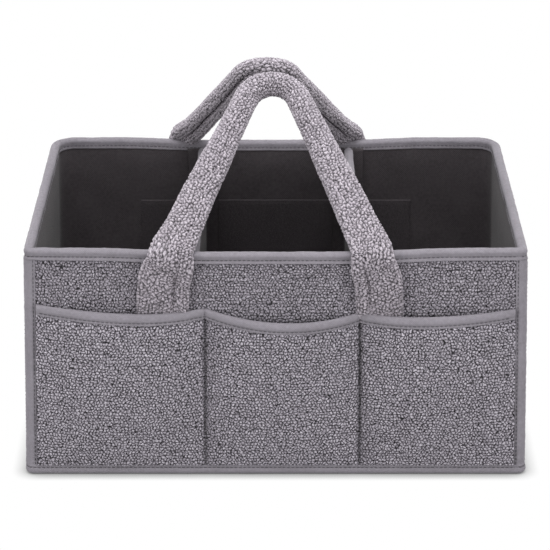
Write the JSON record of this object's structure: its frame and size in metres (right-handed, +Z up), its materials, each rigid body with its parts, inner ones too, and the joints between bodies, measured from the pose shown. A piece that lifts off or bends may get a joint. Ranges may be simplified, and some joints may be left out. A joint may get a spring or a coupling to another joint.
{
  "type": "diaper caddy",
  "caption": "Soft rectangular caddy in grey boucle with bound edges, patch pockets front and rear, two sherpa handles that fold and two movable dividers.",
  "frame": {"origin": "on the floor, below the middle of the caddy", "axes": "+X along the length to the right, +Y from the front to the rear, +Z up"},
  "size_m": [0.3888, 0.3026, 0.2875],
  "materials": {
    "boucle": "matte",
    "sherpa": "matte",
    "tape": "matte",
    "lining": "matte",
    "board": "matte",
    "filling": "matte",
    "hook_and_loop": "matte"
  },
  "bodies": {
    "shell": {"wrap_outer_panel": "boucle", "front_outer_panel": "boucle", "wrap_lining": "lining", "front_lining": "lining", "front_board": "board", "rear_board": "board", "left_board": "board", "right_board": "board", "bottom_cover": "tape", "base_board": "board", "floor_lining": "lining", "rim_binding": "tape", "bottom_binding": "tape", "right_corner_binding": "tape", "left_corner_binding": "tape", "front_pocket_panel": "boucle", "front_pocket_binding": "tape", "rear_pocket_panel": "boucle", "rear_pocket_binding": "tape", "front_left_strap_end": "sherpa", "front_right_strap_end": "sherpa", "rear_left_strap_end": "sherpa", "rear_right_strap_end": "sherpa", "front_loop_band": "hook_and_loop", "rear_loop_band": "hook_and_loop"},
    "front_handle": {"front_handle_cover": "sherpa", "front_handle_core": "filling"},
    "rear_handle": {"rear_handle_cover": "sherpa", "rear_handle_core": "filling"},
    "left_divider": {"left_divider_cover": "lining", "left_divider_board": "board", "left_divider_binding": "tape", "left_divider_front_hook": "hook_and_loop", "left_divider_rear_hook": "hook_and_loop"},
    "right_divider": {"right_divider_cover": "lining", "right_divider_board": "board", "right_divider_binding": "tape", "right_divider_front_hook": "hook_and_loop", "right_divider_rear_hook": "hook_and_loop"}
  },
  "joints": [
    {"name": "front_handle_swing", "type": "hinge", "parent": "shell", "child": "front_handle", "pos_m": [0, -0.1428, 0.1865], "axis": [1, 0, 0], "range_deg": [0, 215]},
    {"name": "rear_handle_swing", "type": "hinge", "parent": "shell", "child": "rear_handle", "pos_m": [0, 0.1428, 0.1865], "axis": [-1, 0, 0], "range_deg": [0, 215]},
    {"name": "left_divider_slide", "type": "slide", "parent": "shell", "child": "left_divider", "axis": [1, 0, 0], "range_m": [-0.04, 0.03]},
    {"name": "right_divider_slide", "type": "slide", "parent": "shell", "child": "right_divider", "axis": [1, 0, 0], "range_m": [-0.03, 0.04]}
  ]
}
